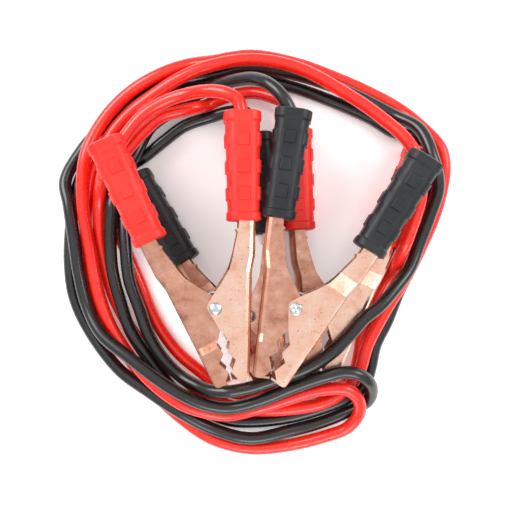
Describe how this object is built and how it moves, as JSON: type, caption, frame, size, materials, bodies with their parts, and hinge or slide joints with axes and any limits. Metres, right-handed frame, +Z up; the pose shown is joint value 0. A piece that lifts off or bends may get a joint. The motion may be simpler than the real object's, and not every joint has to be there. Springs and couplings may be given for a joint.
{
  "type": "car booster cable set",
  "caption": "Car booster cable set: a red and a black cable wound in a loose coil, with sprung copper-plated jaw clamps and moulded grips on their ends.",
  "frame": {"origin": "on the ground, below the middle of the box round the clamps", "axes": "+Z up, +Y from the jaws towards the handles, +X towards the rear red clamp"},
  "size_m": [0.2312, 0.2422, 0.0628],
  "materials": {
    "copper_plated_steel": "copper plate, satin",
    "zinc_plated_steel": "bright zinc plate",
    "red_plastic": "satin",
    "black_plastic": "satin",
    "red_jacket": "glossy",
    "black_jacket": "glossy"
  },
  "bodies": {
    "root": {"front_red_cable_arm": "copper_plated_steel", "front_red_cable_grip": "red_plastic", "front_red_rivet": "zinc_plated_steel", "front_red_spring": "zinc_plated_steel", "front_black_cable_arm": "copper_plated_steel", "front_black_cable_grip": "black_plastic", "front_black_rivet": "zinc_plated_steel", "front_black_spring": "zinc_plated_steel", "rear_black_cable_arm": "copper_plated_steel", "rear_black_cable_grip": "black_plastic", "rear_black_rivet": "zinc_plated_steel", "rear_black_spring": "zinc_plated_steel", "rear_red_cable_arm": "copper_plated_steel", "rear_red_cable_grip": "red_plastic", "rear_red_rivet": "zinc_plated_steel", "rear_red_spring": "zinc_plated_steel", "red_cable": "red_jacket", "black_cable": "black_jacket"},
    "front_red_handle": {"front_red_free_arm": "copper_plated_steel", "front_red_free_grip": "red_plastic"},
    "front_black_handle": {"front_black_free_arm": "copper_plated_steel", "front_black_free_grip": "black_plastic"},
    "rear_black_handle": {"rear_black_free_arm": "copper_plated_steel", "rear_black_free_grip": "black_plastic"},
    "rear_red_handle": {"rear_red_free_arm": "copper_plated_steel", "rear_red_free_grip": "red_plastic"}
  },
  "joints": [
    {"name": "front_red_opening", "type": "hinge", "parent": "root", "child": "front_red_handle", "pos_m": [-0.03046, -0.02951, 0.04603], "axis": [-0.0908, 0.0063, -0.9959], "range_deg": [0, 24], "stiffness_Nm_per_rad": 1.2, "springref_deg": -28.65, "deforming": ["front_red_spring"]},
    {"name": "front_black_opening", "type": "hinge", "parent": "root", "child": "front_black_handle", "pos_m": [0.01324, -0.02971, 0.04603], "axis": [-0.047, -0.0013, 0.9989], "range_deg": [0, 24], "stiffness_Nm_per_rad": 1.2, "springref_deg": -28.65, "deforming": ["front_black_spring"]},
    {"name": "rear_black_opening", "type": "hinge", "parent": "root", "child": "rear_black_handle", "pos_m": [-0.01156, -0.03651, 0.01223], "axis": [0.005, -0.0142, -0.9999], "range_deg": [0, 24], "stiffness_Nm_per_rad": 1.2, "springref_deg": -28.65, "deforming": ["rear_black_spring"]},
    {"name": "rear_red_opening", "type": "hinge", "parent": "root", "child": "rear_red_handle", "pos_m": [0.03524, -0.03231, 0.01283], "axis": [0.0035, 0.0207, 0.9998], "range_deg": [0, 12], "stiffness_Nm_per_rad": 1.2, "springref_deg": -28.65, "deforming": ["rear_red_spring"]}
  ]
}
